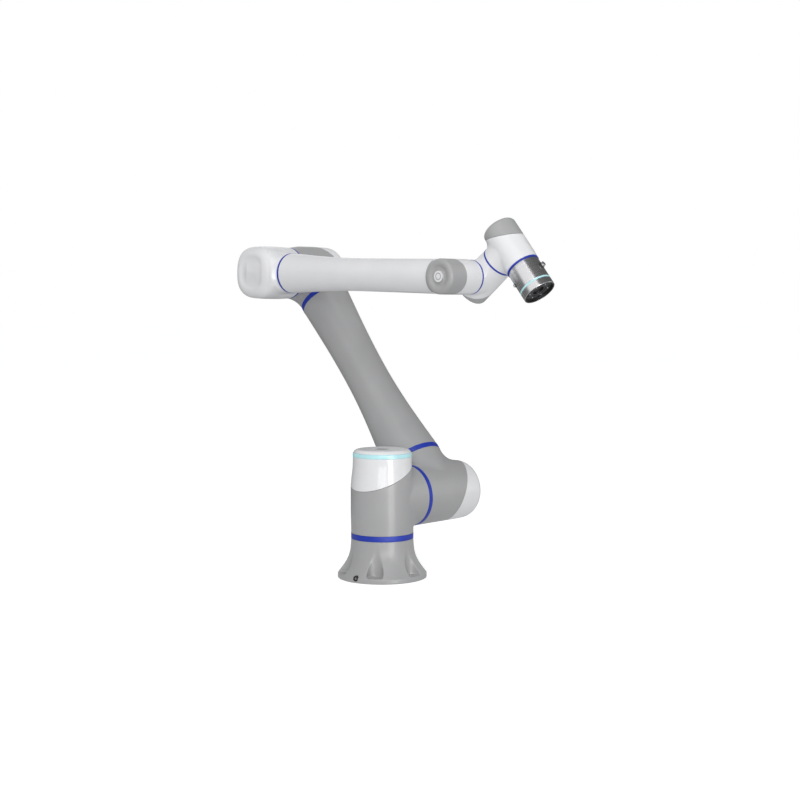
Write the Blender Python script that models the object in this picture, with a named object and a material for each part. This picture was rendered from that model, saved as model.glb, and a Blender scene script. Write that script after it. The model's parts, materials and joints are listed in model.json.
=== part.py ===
"""A six-axis collaborative robot arm, standing on its base flange in a working pose.

The world origin is the centre of the base's underside, with +Z up. The shoulder turns
about Z, the shoulder and elbow hinges lie along X, the upper arm leans towards +Y and
the forearm comes back towards -Y. Each moving body hangs on an empty whose Z axis is
its joint's axis, so its pieces are modelled round that axis. Lengths are in metres.
"""

import math

import bmesh
import bpy
from mathutils import Matrix, Vector

# Driving dimensions.
FLANGE_R = 0.1240
SHOULDER_Z = 0.2175
UPPER_ARM = 0.8145
FOREARM = 0.7455
WRIST_2_OFFSET = 0.1525
WRIST_3_OFFSET = 0.1240
TOOL_FACE = 0.1525

# Pose: the upper arm's lean from vertical, the forearm's droop, and the wrist's lift.
UPPER_LEAN = math.radians(38.6)
FOREARM_DROOP = math.radians(1.8)
WRIST_LIFT = math.radians(38.4)
TOOL_SWING = math.radians(1.6)
BASE_YAW = math.radians(-171.3)
FIRST_BOLT_TURN = math.radians(26)
TOOL_CONNECTOR_TURN = math.radians(-11)

# The joints' seal rings: radius, half of the width, and place along the joint's axis.
BIG_RING = (0.0870, 0.0075)
SHOULDER_RING = (0.0868, 0.0062)
ELBOW_RING = (0.0775, 0.0026)
WRIST_RING = (0.0468, 0.0022)
RING_AT = {"j1": 0.1172, "j2": 0.1078, "j3": 0.1000, "j4": 0.0985, "j5": 0.0665, "j6": 0.0637}

# The three wrist barrels, and the radius and length of the drive in each.
WRIST_R = 0.0475
WRIST_MOUTH_R = 0.0465
WRIST_RING_BORE = 0.0400
WRIST_DRIVE = (0.0408, 0.0620)

# Tubes: how far each one's axis stands along its joint's axis.
UPPER_TUBE_X = 0.1955
FORE_TUBE_X = 0.0350

GAP = 0.0003
SEAL_GAP = 0.0004
BAND_PROUD = 0.0004
WALL = 0.007
THIN_WALL = 0.005
SEGMENTS = 24
HOLE_SEGMENTS = 16
DRIVE_SEGMENTS = 12
SMALL_SEGMENTS = 10
FINE = 0.000001

COLORS = {
    "grey_casting": ((0.36, 0.36, 0.36), 0.42, 0.0),
    "white_cover": ((0.80, 0.80, 0.81), 0.32, 0.0),
    "blue_seal": ((0.02, 0.05, 0.36), 0.45, 0.0),
    "light_ring": ((0.45, 0.90, 0.95), 0.30, 0.0),
    "steel": ((0.55, 0.55, 0.56), 0.28, 1.0),
    "black_plastic": ((0.02, 0.02, 0.02), 0.45, 0.0),
    "copper": ((0.60, 0.28, 0.14), 0.40, 1.0),
    "circuit_board": ((0.03, 0.20, 0.09), 0.55, 0.0),
}


def clear_scene():
    for item in list(bpy.data.objects):
        bpy.data.objects.remove(item)


def material(name):
    """The named material, made the first time that it is asked for."""
    found = bpy.data.materials.get(name)
    if found:
        return found
    color, roughness, metallic = COLORS[name]
    made = bpy.data.materials.new(name)
    made.use_nodes = True
    shader = made.node_tree.nodes["Principled BSDF"]
    shader.inputs["Base Color"].default_value = (*color, 1.0)
    shader.inputs["Roughness"].default_value = roughness
    shader.inputs["Metallic"].default_value = metallic
    return made


def add_empty(name, matrix):
    empty = bpy.data.objects.new(name, None)
    empty.empty_display_size = 0.1
    bpy.context.scene.collection.objects.link(empty)
    empty.matrix_world = matrix
    return empty


def frame(origin, z_axis, x_axis):
    """The matrix at origin whose Z is z_axis and whose X is as near x_axis as it can be."""
    z = Vector(z_axis).normalized()
    y = z.cross(Vector(x_axis)).normalized()
    matrix = Matrix((y.cross(z), y, z)).transposed().to_4x4()
    matrix.translation = origin
    return matrix


def along_x(x=0.0, z=0.0):
    """Turns a shape built along Z so that it runs along +X, starting at (x, 0, z)."""
    return frame((x, 0, z), (1, 0, 0), (0, 0, -1))


def add_object(name, bm, parent, place, color=None):
    """A piece of the arm, or a cutter that is left out of it when color is None."""
    bmesh.ops.recalc_face_normals(bm, faces=bm.faces)
    mesh = bpy.data.meshes.new(name)
    bm.to_mesh(mesh)
    bm.free()
    made = bpy.data.objects.new(name, mesh)
    bpy.context.scene.collection.objects.link(made)
    made.parent = parent
    made.matrix_local = place
    if color is None:
        made.hide_render = True
        made.display_type = "WIRE"
    else:
        mesh.materials.append(material(color))
        mesh.shade_smooth()
        mesh.set_sharp_from_angle(angle=math.radians(35))
    return made


def turned(outline, segments=SEGMENTS):
    """A solid turned about Z from (radius, height) points; an outline off the axis is closed."""
    bm = bmesh.new()
    points = [bm.verts.new((radius, 0, height)) for radius, height in outline]
    for first, second in zip(points, points[1:]):
        bm.edges.new((first, second))
    if outline[0][0] > 0:
        bm.edges.new((points[-1], points[0]))
    bmesh.ops.spin(
        bm, geom=bm.verts[:] + bm.edges[:], cent=(0, 0, 0), axis=(0, 0, 1),
        angle=math.tau, steps=segments, use_merge=True,
    )
    bmesh.ops.remove_doubles(bm, verts=bm.verts, dist=FINE)
    return bm


def block(size):
    bm = bmesh.new()
    bmesh.ops.create_cube(bm, size=1.0)
    bmesh.ops.scale(bm, vec=size, verts=bm.verts)
    return bm


def boolean(target, tool, operation="DIFFERENCE"):
    modifier = target.modifiers.new(tool.name, "BOOLEAN")
    modifier.operation = operation
    modifier.object = tool


def sleeve(outer, inner, low, high):
    """The outline of a ring with a rectangular section."""
    return [(inner, low), (outer, low), (outer, high), (inner, high)]


def rod(radius, low, high):
    """The outline of a solid cylinder."""
    return [(0, low), (radius, low), (radius, high), (0, high)]


def rounded_end(radius, end, corner, steps=3):
    """The outline of a barrel's rounded end, from its side to the axis."""
    points = []
    for step in range(steps + 1):
        angle = step / steps * math.pi / 2
        side = radius - corner + corner * math.cos(angle)
        points.append((side, end - corner + corner * math.sin(angle)))
    return points + [(0, end)]


def add_cut_plane(name, parent, place, middle, slope, shift):
    """A block that fills the cap's side of the oblique cut z = middle + slope * x + shift."""
    size = 0.6
    normal = Vector((-slope, 0, 1)).normalized()
    tilt = frame((0, 0, middle + shift), normal, (1, 0, 0))
    return add_object(name, block((size,) * 3), parent, place @ tilt @ Matrix.Translation((0, 0, size / 2)))


def tee(names, parent, place, barrel, arm, cut, colors, wall=WALL):
    """A hollow T-shaped casting and the cap that closes its barrel.

    In its own frame the barrel runs along Z, open at barrel["open"] and capped at
    barrel["end"], and the arm leaves along +X. The cap is cut off along the oblique
    plane z = middle + slope * x, given as cut.
    """
    radius, open_z, end_z = barrel["radius"], barrel["open"], barrel["end"]
    end_radius = barrel.get("end_radius", radius)
    mouth = barrel.get("mouth", radius)
    outer = [(0, open_z), (mouth, open_z), (radius, open_z * 0.6), (radius, end_z * 0.3)]
    outer += rounded_end(end_radius, end_z, barrel["corner"])
    inner = [(0, open_z - 0.01), (mouth - wall, open_z - 0.01), (mouth - wall, open_z * 0.6)]
    inner += rounded_end(end_radius - wall, end_z - wall, barrel["corner"] * 0.7, 2)
    arm_place = place @ along_x()
    arm_end = arm["outline"][-1][1]
    arm_outline = [(0, 0)] + arm["outline"] + [(0, arm_end)]

    housing = add_object(names[0], turned(outer), parent, place, colors[0])
    arm_solid = add_object(names[0] + "_arm", turned(arm_outline), parent, arm_place)
    void = add_object(names[0] + "_void", turned(inner), parent, place)
    arm_bore = turned(rod(arm["bore"], 0, arm_end + 0.01))
    arm_void = add_object(names[0] + "_arm_void", arm_bore, parent, arm_place)
    cap_room = turned(rod(radius + GAP, open_z, end_z + 0.01))
    envelope = add_object(names[0] + "_cap_room", cap_room, parent, place)
    beyond = add_cut_plane(names[0] + "_beyond", parent, place, *cut, 0)
    boolean(envelope, beyond, "INTERSECT")
    joint_bm = turned(rod(mouth + 0.002, open_z - 0.1, open_z + GAP))
    joint_room = add_object(names[0] + "_joint_room", joint_bm, parent, place)
    boolean(arm_solid, joint_room)
    boolean(housing, arm_solid, "UNION")
    for tool in (void, arm_void, envelope):
        boolean(housing, tool)

    cap = add_object(names[1], turned(outer), parent, place, colors[1])
    above = add_cut_plane(names[1] + "_above", parent, place, *cut, GAP)
    boolean(cap, above, "INTERSECT")
    boolean(cap, void)
    return housing, cap


def ring(name, parent, size, at, bore, color="blue_seal", place=None):
    """A seal ring round the body's Z axis, or along the axis of place."""
    radius, half = size
    outline = sleeve(radius, bore, at - half, at + half)
    return add_object(name, turned(outline), parent, place or Matrix(), color)


def drive(prefix, parent, place, radius, length):
    """A joint's drive unit, turned about place's Z and ending just short of z = 0.

    The sealed strain-wave gear with its output bearing is next to the joint, then
    come the sealed motor and, at the back, the encoder and brake board. A fixed tube
    for the cables runs through the hollow middle of all three.
    """
    gear_back, motor_front, motor_back, board_front, board_back = (
        -length * part for part in (0.32, 0.36, 0.80, 0.88, 0.96)
    )
    tube_r = radius * 0.26
    pieces = {
        "gear": ("steel", sleeve(radius, tube_r + 0.002, gear_back, -0.001)),
        "motor": ("copper", sleeve(radius, tube_r + 0.003, motor_back, motor_front)),
        "board": ("circuit_board", sleeve(radius * 0.96, tube_r + 0.002, board_back, board_front)),
        "cable_tube": ("black_plastic", sleeve(tube_r, tube_r - 0.002, board_back - 0.004, -0.001)),
    }
    for piece, (color, outline) in pieces.items():
        add_object(f"{prefix}_{piece}", turned(outline, DRIVE_SEGMENTS), parent, place, color)


def build_base(body):
    """The flared base casting with six bolt pockets, its port, and the first seal ring."""
    ring_low = RING_AT["j1"] - BIG_RING[1] - SEAL_GAP
    flare = [
        (0, 0), (FLANGE_R - 0.002, 0), (FLANGE_R, 0.002), (FLANGE_R, 0.012), (0.1160, 0.0225),
        (0.1035, 0.0400), (0.0943, 0.0590), (0.0882, 0.0850), (0.0866, ring_low), (0, ring_low),
    ]
    bore, floor = 0.072, 0.016
    casting = add_object("base_casting", turned(flare, 30), body, Matrix(), "grey_casting")
    void = turned(rod(bore, floor, ring_low + 0.01))
    boolean(casting, add_object("base_void", void, body, Matrix()))

    # The pockets stand a little outside the bolt circle, so that they open at the flange's rim.
    pocket_r, pocket_circle_r, pocket_floor = 0.0225, 0.1110, 0.0150
    bolt_hole_r, bolt_circle_r = 0.0055, 0.1065
    for index in range(6):
        turn = Matrix.Rotation(BASE_YAW + FIRST_BOLT_TURN + index * math.tau / 6, 4, "Z")
        pocket = turned(rod(pocket_r, pocket_floor, 0.12), HOLE_SEGMENTS)
        pocket_spot = turn @ Matrix.Translation((pocket_circle_r, 0, 0))
        boolean(casting, add_object(f"pocket_{index}", pocket, body, pocket_spot))
        hole = turned(rod(bolt_hole_r, -0.01, 0.03), SMALL_SEGMENTS)
        hole_spot = turn @ Matrix.Translation((bolt_circle_r, 0, 0))
        boolean(casting, add_object(f"bolt_hole_{index}", hole, body, hole_spot))

    port = Matrix.Rotation(BASE_YAW, 4, "Z") @ along_x(FLANGE_R - 0.010, 0.0125)
    port_room = turned(rod(0.0075, 0, 0.03), HOLE_SEGMENTS)
    boolean(casting, add_object("port_room", port_room, body, port))
    port_ring = turned(sleeve(0.0072, 0.0040, 0.0005, 0.0115), HOLE_SEGMENTS)
    add_object("base_port_ring", port_ring, body, port, "black_plastic")
    port_core = turned(rod(0.0037, 0.0005, 0.0105), SMALL_SEGMENTS)
    add_object("base_port_core", port_core, body, port, "white_cover")
    ring("seal_ring_j1", body, BIG_RING, RING_AT["j1"], bore + 0.002)
    drive("j1", body, Matrix.Translation((0, 0, ring_low)), bore - 0.0013, 0.078)


def build_shoulder(body):
    """The upright T that carries the shoulder hinge, with its lit cap."""
    low = RING_AT["j1"] + BIG_RING[1] + SEAL_GAP - SHOULDER_Z
    top = 0.1400
    stub_end = RING_AT["j2"] - SHOULDER_RING[1] - SEAL_GAP
    place = Matrix.Translation((0, 0, SHOULDER_Z))
    barrel = {
        "radius": 0.0878, "mouth": 0.0868, "open": low, "end": top,
        "corner": 0.014, "end_radius": 0.0815,
    }
    arm = {"outline": [(0.0860, 0), (0.0860, stub_end)], "bore": 0.0790}
    _, cap = tee(("shoulder_housing", "shoulder_cap"), body, place, barrel, arm, (0.0675, 0.45),
                 ("grey_casting", "white_cover"))

    light_at, light_half = top - 0.0165, 0.0045
    groove = turned(sleeve(0.100, 0.0790, light_at - light_half - GAP, light_at + light_half + GAP))
    boolean(cap, add_object("light_groove", groove, body, place))
    light = sleeve(0.0822, 0.0793, light_at - light_half, light_at + light_half)
    add_object("status_light_ring", turned(light), body, place, "light_ring")

    plug_r, plug_depth = 0.0200, 0.0015
    plug_room = turned(rod(plug_r, top - plug_depth, top + 0.01))
    boolean(cap, add_object("plug_room", plug_room, body, place))
    plug = turned(rod(plug_r - GAP, top - plug_depth + GAP, top - 0.0002))
    add_object("shoulder_cap_plug", plug, body, place, "steel")

    ring("seal_ring_j2", body, SHOULDER_RING, RING_AT["j2"], 0.0790, place=place @ along_x())
    drive("j2", body, place @ along_x(stub_end), 0.0777, 0.080)


def build_upper_arm(body):
    """From the shoulder hinge to the elbow: a T, a waisted tube and another T.

    In this body's frame Z is the shoulder hinge's axis and X runs up the tube.
    """
    near = RING_AT["j2"] + SHOULDER_RING[1] + SEAL_GAP - UPPER_TUBE_X
    band_half, band_low, band_high = 0.0070, 0.1110, UPPER_ARM - 0.1030
    low_r, waist_r, high_r = 0.0855, 0.0630, 0.0750
    place = Matrix.Translation((0, 0, UPPER_TUBE_X))
    barrel = {"radius": 0.0860, "open": near, "end": 0.1425, "corner": 0.030, "end_radius": 0.0830}
    root_r = low_r - 0.0048
    arm = {
        "outline": [(root_r, 0), (root_r, 0.075), (low_r, band_low - band_half - GAP)],
        "bore": low_r - 2 * WALL,
    }
    tee(("shoulder_knuckle", "shoulder_knuckle_cap"), body, place, barrel, arm, (0.0850, 0.54),
        ("grey_casting", "white_cover"))

    tube_place = place @ along_x()
    start, stop = band_low + band_half + GAP, band_high - band_half - GAP
    stations = [start + (stop - start) * part for part in (0, 0.18, 0.38, 0.60, 0.82, 1)]
    outside = [(tube_radius(low_r, waist_r, high_r, start, stop, at), at) for at in stations]
    inside = [(radius - THIN_WALL, at) for radius, at in reversed(outside)]
    add_object("upper_arm_tube", turned(outside + inside), body, tube_place, "grey_casting")
    for name, at, radius in (("lower", band_low, low_r), ("upper", band_high, high_r)):
        size = (radius + BAND_PROUD, band_half)
        ring(f"upper_arm_{name}_band", body, size, at, radius - WALL, place=tube_place)

    elbow_near = RING_AT["j3"] + ELBOW_RING[1] + SEAL_GAP - UPPER_TUBE_X
    elbow = frame((UPPER_ARM, 0, UPPER_TUBE_X), (0, 0, 1), (-1, 0, 0))
    barrel = {
        "radius": 0.0830, "mouth": 0.0775, "open": elbow_near, "end": 0.0870,
        "corner": 0.026, "end_radius": 0.0815,
    }
    arm = {
        "outline": [(high_r + 0.001, 0), (high_r, UPPER_ARM - band_high - band_half - GAP)],
        "bore": high_r - WALL,
    }
    tee(("elbow_knuckle", "elbow_knuckle_cap"), body, elbow, barrel, arm, (0.0400, 0.46),
        ("grey_casting", "white_cover"))
    flip = frame((UPPER_ARM, 0, RING_AT["j3"]), (0, 0, -1), (1, 0, 0))
    ring("seal_ring_j3", body, ELBOW_RING, 0, 0.0690, place=flip)
    drive("j3", body, flip @ Matrix.Translation((0, 0, -ELBOW_RING[1] - SEAL_GAP)), 0.0690, 0.078)


def tube_radius(low_r, waist_r, high_r, start, stop, at):
    """The waisted tube's radius: two cosine curves that meet at the waist."""
    part = (at - start) / (stop - start)
    waist = 0.52
    if part < waist:
        return waist_r + (low_r - waist_r) * (1 - math.sin(part / waist * math.pi / 2))
    return waist_r + (high_r - waist_r) * (1 - math.cos((part - waist) / (1 - waist) * math.pi / 2))


def build_forearm(body):
    """From the elbow to the first wrist hinge, where X runs along the forearm."""
    near = RING_AT["j3"] - ELBOW_RING[1] - SEAL_GAP
    band_at, band_half, band_r = 0.0960, 0.0034, 0.0590
    elbow = frame((0, 0, FORE_TUBE_X), (0, 0, -1), (1, 0, 0))
    barrel_end = 0.0780
    barrel = {
        "radius": 0.0800, "mouth": 0.0775, "open": FORE_TUBE_X - near, "end": barrel_end,
        "corner": 0.026, "end_radius": 0.0790,
    }
    arm = {"outline": [(band_r + 0.001, 0), (band_r, band_at - band_half - GAP)], "bore": band_r - WALL}
    _, cap = tee(("forearm_knuckle", "forearm_knuckle_cap"), body, elbow, barrel, arm, (0.034, 0.50),
                 ("white_cover", "white_cover"))
    panel_r, half_groove, groove_depth = 0.0465, 0.0012, 0.0020
    groove = turned(sleeve(panel_r + half_groove, panel_r - half_groove, barrel_end - groove_depth, 0.09))
    boolean(cap, add_object("end_panel_groove", groove, body, elbow))

    wrist_r, waist_r = 0.0470, 0.0462
    tube_place = Matrix.Translation((0, 0, FORE_TUBE_X)) @ along_x()
    band = (band_r + BAND_PROUD, band_half)
    ring("forearm_band", body, band, band_at, band_r - WALL, place=tube_place)
    start = band_at + band_half + GAP
    stop = FOREARM - 0.0560
    stations = [start + (stop - start) * part for part in (0, 0.18, 0.45, 0.75, 1)]
    outside = [(tube_radius(band_r, waist_r, wrist_r, start, stop, at), at) for at in stations]
    inside = [(radius - THIN_WALL, at) for radius, at in reversed(outside)]
    add_object("forearm_tube", turned(outside + inside), body, tube_place, "white_cover")

    ring_low = RING_AT["j4"] - WRIST_RING[1] - SEAL_GAP
    wrist = frame((FOREARM, 0, FORE_TUBE_X), (0, 0, -1), (-1, 0, 0))
    opening = FORE_TUBE_X - ring_low
    barrel = {"radius": WRIST_R, "mouth": WRIST_MOUTH_R, "open": opening, "end": 0.0630, "corner": 0.009}
    arm = {"outline": [(wrist_r - 0.0004, 0), (wrist_r, FOREARM - stop - GAP)], "bore": wrist_r - THIN_WALL}
    _, cap = tee(("forearm_wrist_housing", "forearm_wrist_cap"), body, wrist, barrel, arm, (0.0100, 0.17),
                 ("white_cover", "grey_casting"), THIN_WALL)
    cap_end, dish_depth, dish_r, disc_r = barrel["end"], 0.0030, 0.0300, 0.0150
    dish = turned(sleeve(dish_r, disc_r + 0.0015, cap_end - dish_depth, 0.07))
    boolean(cap, add_object("cap_dish", dish, body, wrist))
    disc = turned(rod(disc_r, cap_end + GAP, cap_end + GAP + 0.0010))
    add_object("forearm_wrist_cap_disc", disc, body, wrist, "white_cover")
    hinge = Matrix.Translation((FOREARM, 0, 0))
    ring("seal_ring_j4", body, WRIST_RING, RING_AT["j4"], WRIST_RING_BORE, place=hinge)
    drive("j4", body, hinge @ Matrix.Translation((0, 0, ring_low)), *WRIST_DRIVE)


def build_wrist(body, number, offset, ring_at, next_ring, end, cut, colors):
    """A wrist's T: its stub sits on the hinge and its barrel carries the next one.

    The frame's Z is the hinge's axis, X is the next hinge's axis, and offset is how
    far along Z that axis stands.
    """
    stub = offset - ring_at - WRIST_RING[1] - SEAL_GAP
    place = frame((0, 0, offset), (-1, 0, 0), (0, 0, -1))
    opening = -(next_ring - WRIST_RING[1] - SEAL_GAP)
    barrel = {"radius": WRIST_R, "mouth": WRIST_MOUTH_R, "open": opening, "end": end, "corner": 0.012}
    stub_r = 0.0462
    arm = {"outline": [(stub_r, 0), (stub_r, stub)], "bore": stub_r - THIN_WALL}
    names = (f"wrist_{number}_housing", f"wrist_{number}_cap")
    tee(names, body, place, barrel, arm, cut, colors, THIN_WALL)
    turn = frame((0, 0, offset), (1, 0, 0), (0, 0, 1))
    prefix = f"j{number + 4}"
    ring(f"seal_ring_{prefix}", body, WRIST_RING, next_ring, WRIST_RING_BORE, place=turn)
    drive(prefix, body, turn @ Matrix.Translation((0, 0, -opening)), *WRIST_DRIVE)


def build_tool(body):
    """The tool flange: a metal barrel with a light ring, two connectors and the face."""
    radius, rim_bore, light_bore = 0.0450, 0.0405, 0.0370
    low = RING_AT["j6"] + WRIST_RING[1] + SEAL_GAP
    light_low, light_high = 0.1290, 0.1335
    solid = turned(rod(radius, low, light_low - GAP))
    barrel = add_object("tool_flange_barrel", solid, body, Matrix(), "steel")
    light = turned(sleeve(radius + BAND_PROUD, light_bore, light_low, light_high))
    add_object("tool_light_ring", light, body, Matrix(), "light_ring")
    plate_face, pilot_r, pilot_depth = TOOL_FACE - 0.0060, 0.0158, 0.0060
    spigot_r = light_bore - GAP
    head = turned([
        (0, light_low), (spigot_r, light_low), (spigot_r, light_high + GAP), (radius, light_high + GAP),
        (radius, TOOL_FACE), (rim_bore, TOOL_FACE), (rim_bore, plate_face), (pilot_r, plate_face),
        (pilot_r, plate_face - pilot_depth), (0, plate_face - pilot_depth),
    ])
    flange = add_object("tool_flange_face", head, body, Matrix(), "steel")
    bolt_circle_r, bolt_r = 0.0315, 0.0030
    for index in range(4):
        turn = Matrix.Rotation(math.radians(45 + 90 * index), 4, "Z")
        spot = turn @ Matrix.Translation((bolt_circle_r, 0, 0))
        hole = turned(rod(bolt_r, plate_face - 0.0105, 0.16), SMALL_SEGMENTS)
        boolean(flange, add_object(f"tool_hole_{index}", hole, body, spot))
    socket_depth = 0.006
    for name, angle, at, size, reach in (
        ("tool_connector", 0, 0.0965, 0.0085, 0.0095),
        ("tool_port_cap", math.radians(144), 0.1030, 0.0055, 0.0050),
    ):
        side = Matrix.Rotation(TOOL_CONNECTOR_TURN + angle, 4, "Z") @ along_x(radius - socket_depth, at)
        socket = turned(rod(size + GAP, 0, 0.02), HOLE_SEGMENTS)
        boolean(barrel, add_object(name + "_socket", socket, body, side))
        plug = turned(rod(size, GAP, socket_depth + reach), HOLE_SEGMENTS)
        add_object(name, plug, body, side, "black_plastic")


def build_arm():
    right = Vector((1, 0, 0))
    upper = Vector((0, math.sin(UPPER_LEAN), math.cos(UPPER_LEAN)))
    fore = Vector((0, -math.cos(FOREARM_DROOP), -math.sin(FOREARM_DROOP)))
    wrist_2_axis = Vector((0, -math.cos(WRIST_LIFT), math.sin(WRIST_LIFT)))
    down = wrist_2_axis.cross(right)
    if down.z > 0:
        down = -down
    tool_axis = down * math.cos(TOOL_SWING) + right * math.sin(TOOL_SWING)
    shoulder = Vector((0, 0, SHOULDER_Z))
    elbow = shoulder + upper * UPPER_ARM
    wrist_1 = elbow + fore * FOREARM
    wrist_2 = wrist_1 + right * WRIST_2_OFFSET
    wrist_3 = wrist_2 + wrist_2_axis * WRIST_3_OFFSET

    build_base(add_empty("base", Matrix()))
    build_shoulder(add_empty("shoulder", Matrix()))
    build_upper_arm(add_empty("upper_arm", frame(shoulder, right, upper)))
    build_forearm(add_empty("forearm", frame(elbow, right, fore)))
    colors = ("white_cover", "grey_casting")
    build_wrist(add_empty("wrist_1", frame(wrist_1, right, wrist_2_axis)), 1, WRIST_2_OFFSET,
                RING_AT["j4"], RING_AT["j5"], 0.0630, (0.0284, 0.61), colors)
    build_wrist(add_empty("wrist_2", frame(wrist_2, wrist_2_axis, tool_axis)), 2, WRIST_3_OFFSET,
                RING_AT["j5"], RING_AT["j6"], 0.0720, (0.0362, 0.54), colors)
    build_tool(add_empty("tool", frame(wrist_3, tool_axis, wrist_2_axis)))


clear_scene()
build_arm()
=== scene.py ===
"""Looks for the six-axis arm: smooth shells, seal rings, lights and finishes round the CAD frame.

Every shell is worked out in the frame of its own joint, from the joints in the record. In
a T-shaped housing's frame the barrel runs along Z towards its cap and the arm leaves along +X.
Lengths are in metres.
"""

import json
import math

import bmesh
import bpy
import numpy as np
from mathutils import Matrix, Vector


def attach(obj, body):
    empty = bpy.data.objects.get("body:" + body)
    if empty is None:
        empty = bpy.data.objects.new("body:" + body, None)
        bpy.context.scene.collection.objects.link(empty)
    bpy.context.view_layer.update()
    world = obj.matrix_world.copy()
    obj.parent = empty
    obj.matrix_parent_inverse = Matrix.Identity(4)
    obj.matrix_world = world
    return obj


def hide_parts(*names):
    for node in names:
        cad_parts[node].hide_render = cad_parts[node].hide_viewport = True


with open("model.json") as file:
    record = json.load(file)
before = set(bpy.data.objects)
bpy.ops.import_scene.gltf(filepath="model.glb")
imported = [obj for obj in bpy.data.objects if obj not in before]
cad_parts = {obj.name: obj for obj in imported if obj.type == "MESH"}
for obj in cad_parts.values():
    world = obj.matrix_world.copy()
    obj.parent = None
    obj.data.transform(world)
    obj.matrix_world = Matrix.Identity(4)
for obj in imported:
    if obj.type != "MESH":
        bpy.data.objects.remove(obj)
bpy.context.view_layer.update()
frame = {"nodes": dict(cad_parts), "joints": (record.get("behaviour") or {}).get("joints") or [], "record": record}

# Half of a seam between shells, the chamfer on its edges, how far a shell's edge turns in,
# and the gap beside a band.
SEAM = 0.0004
CHAMFER = 0.0005
LIP = 0.0070
GAP = 0.0003

# The bands on the tubes: how far they stand out, and how deep they go.
BAND_PROUD = 0.0004
BAND_DEPTH = 0.0070

# The grid that a housing's skin is made on: big housings, the squarish one, and the wrists.
COARSE, MEDIUM, FINE = 0.0022, 0.0018, 0.0013

BLUE, GREY, WHITE = "blue_seal", "grey_casting", "white_cover"

# Seal rings: radius, half of the width, and place along the joint's axis.
RINGS = {
    "j1": (0.0870, 0.0075, 0.1172), "j2": (0.0868, 0.0062, 0.1078), "j3": (0.0775, 0.0026, 0.1000),
    "j4": (0.0468, 0.0022, 0.0985), "j5": (0.0468, 0.0022, 0.0665), "j6": (0.0468, 0.0022, 0.0637),
}
RING_BORES = {"j1": 0.074, "j2": 0.079, "j3": 0.069, "j4": 0.040, "j5": 0.040, "j6": 0.040}

# How far the two tubes' middle lines are from the base's axis.
UPPER_TUBE_X = 0.1955
FORE_TUBE_X = 0.0350

CAMERA_AT = (-2.7751, -2.7771, 0.7473)


def axes(origin, z_axis, x_axis):
    """The matrix at origin whose Z is z_axis and whose X is as near x_axis as it can be."""
    z = Vector(z_axis).normalized()
    y = z.cross(Vector(x_axis)).normalized()
    matrix = Matrix((y.cross(z), y, z)).transposed().to_4x4()
    matrix.translation = origin
    return matrix


def added(name, data):
    """A new object in the scene that shows data."""
    made = bpy.data.objects.new(name, data)
    bpy.context.scene.collection.objects.link(made)
    return made


def joint(name):
    """A joint's place and axis, from the record."""
    found = next(j for j in frame["joints"] if j["name"] == name)
    return Vector(found["pos_m"]), Vector(found["axis"]).normalized()


shoulder_at, right = joint("shoulder_lift")
elbow_at, _ = joint("elbow_bend")
wrist_1_at, _ = joint("wrist_1_turn")
wrist_2_at, wrist_2_axis = joint("wrist_2_turn")
wrist_3_at, tool_axis = joint("wrist_3_turn")
UPPER_ARM = (elbow_at - shoulder_at).length
FOREARM = (wrist_1_at - elbow_at).length

BASE = Matrix()
UPPER = axes(shoulder_at, right, elbow_at - shoulder_at)
FORE = axes(elbow_at, right, wrist_1_at - elbow_at)
WRIST_1 = axes(wrist_1_at, right, wrist_2_axis)
WRIST_2 = axes(wrist_2_at, wrist_2_axis, tool_axis)
TOOL = axes(wrist_3_at, tool_axis, wrist_2_axis)


# ---------------------------------------------------------------- materials


def nodes_for(name):
    """A new material, its node tree and its shader."""
    material = bpy.data.materials.new(name)
    material.use_nodes = True
    tree = material.node_tree
    return material, tree, tree.nodes["Principled BSDF"]


def noise(tree, scale, detail=3.0, stretch=(1, 1, 1)):
    """A noise value over the piece's own coordinates, with scale in waves per metre."""
    place = tree.nodes.new("ShaderNodeTexCoord")
    mapping = tree.nodes.new("ShaderNodeMapping")
    mapping.inputs["Scale"].default_value = stretch
    made = tree.nodes.new("ShaderNodeTexNoise")
    made.inputs["Scale"].default_value = scale
    made.inputs["Detail"].default_value = detail
    tree.links.new(place.outputs["Object"], mapping.inputs["Vector"])
    tree.links.new(mapping.outputs["Vector"], made.inputs["Vector"])
    return made.outputs["Fac"]


def ramp(tree, value, low, high, start=0.35, stop=0.65):
    """value mapped on to colours from low to high."""
    made = tree.nodes.new("ShaderNodeValToRGB")
    made.color_ramp.elements[0].position = start
    made.color_ramp.elements[1].position = stop
    made.color_ramp.elements[0].color = (*low, 1)
    made.color_ramp.elements[1].color = (*high, 1)
    tree.links.new(value, made.inputs["Fac"])
    return made.outputs["Color"]


def spread(tree, value, low, high):
    """value mapped on to numbers from low to high."""
    made = tree.nodes.new("ShaderNodeMapRange")
    made.inputs["From Min"].default_value = 0.3
    made.inputs["From Max"].default_value = 0.7
    made.inputs["To Min"].default_value = low
    made.inputs["To Max"].default_value = high
    tree.links.new(value, made.inputs["Value"])
    return made.outputs["Result"]


def bump(tree, shader, value, strength, distance):
    """Lets value raise the shader's surface by distance."""
    made = tree.nodes.new("ShaderNodeBump")
    made.inputs["Strength"].default_value = strength
    made.inputs["Distance"].default_value = distance
    tree.links.new(value, made.inputs["Height"])
    tree.links.new(made.outputs["Normal"], shader.inputs["Normal"])


def shaded(color, change):
    """The colour, brighter or darker by a factor."""
    return tuple(max(0.0, channel * change) for channel in color)


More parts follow.
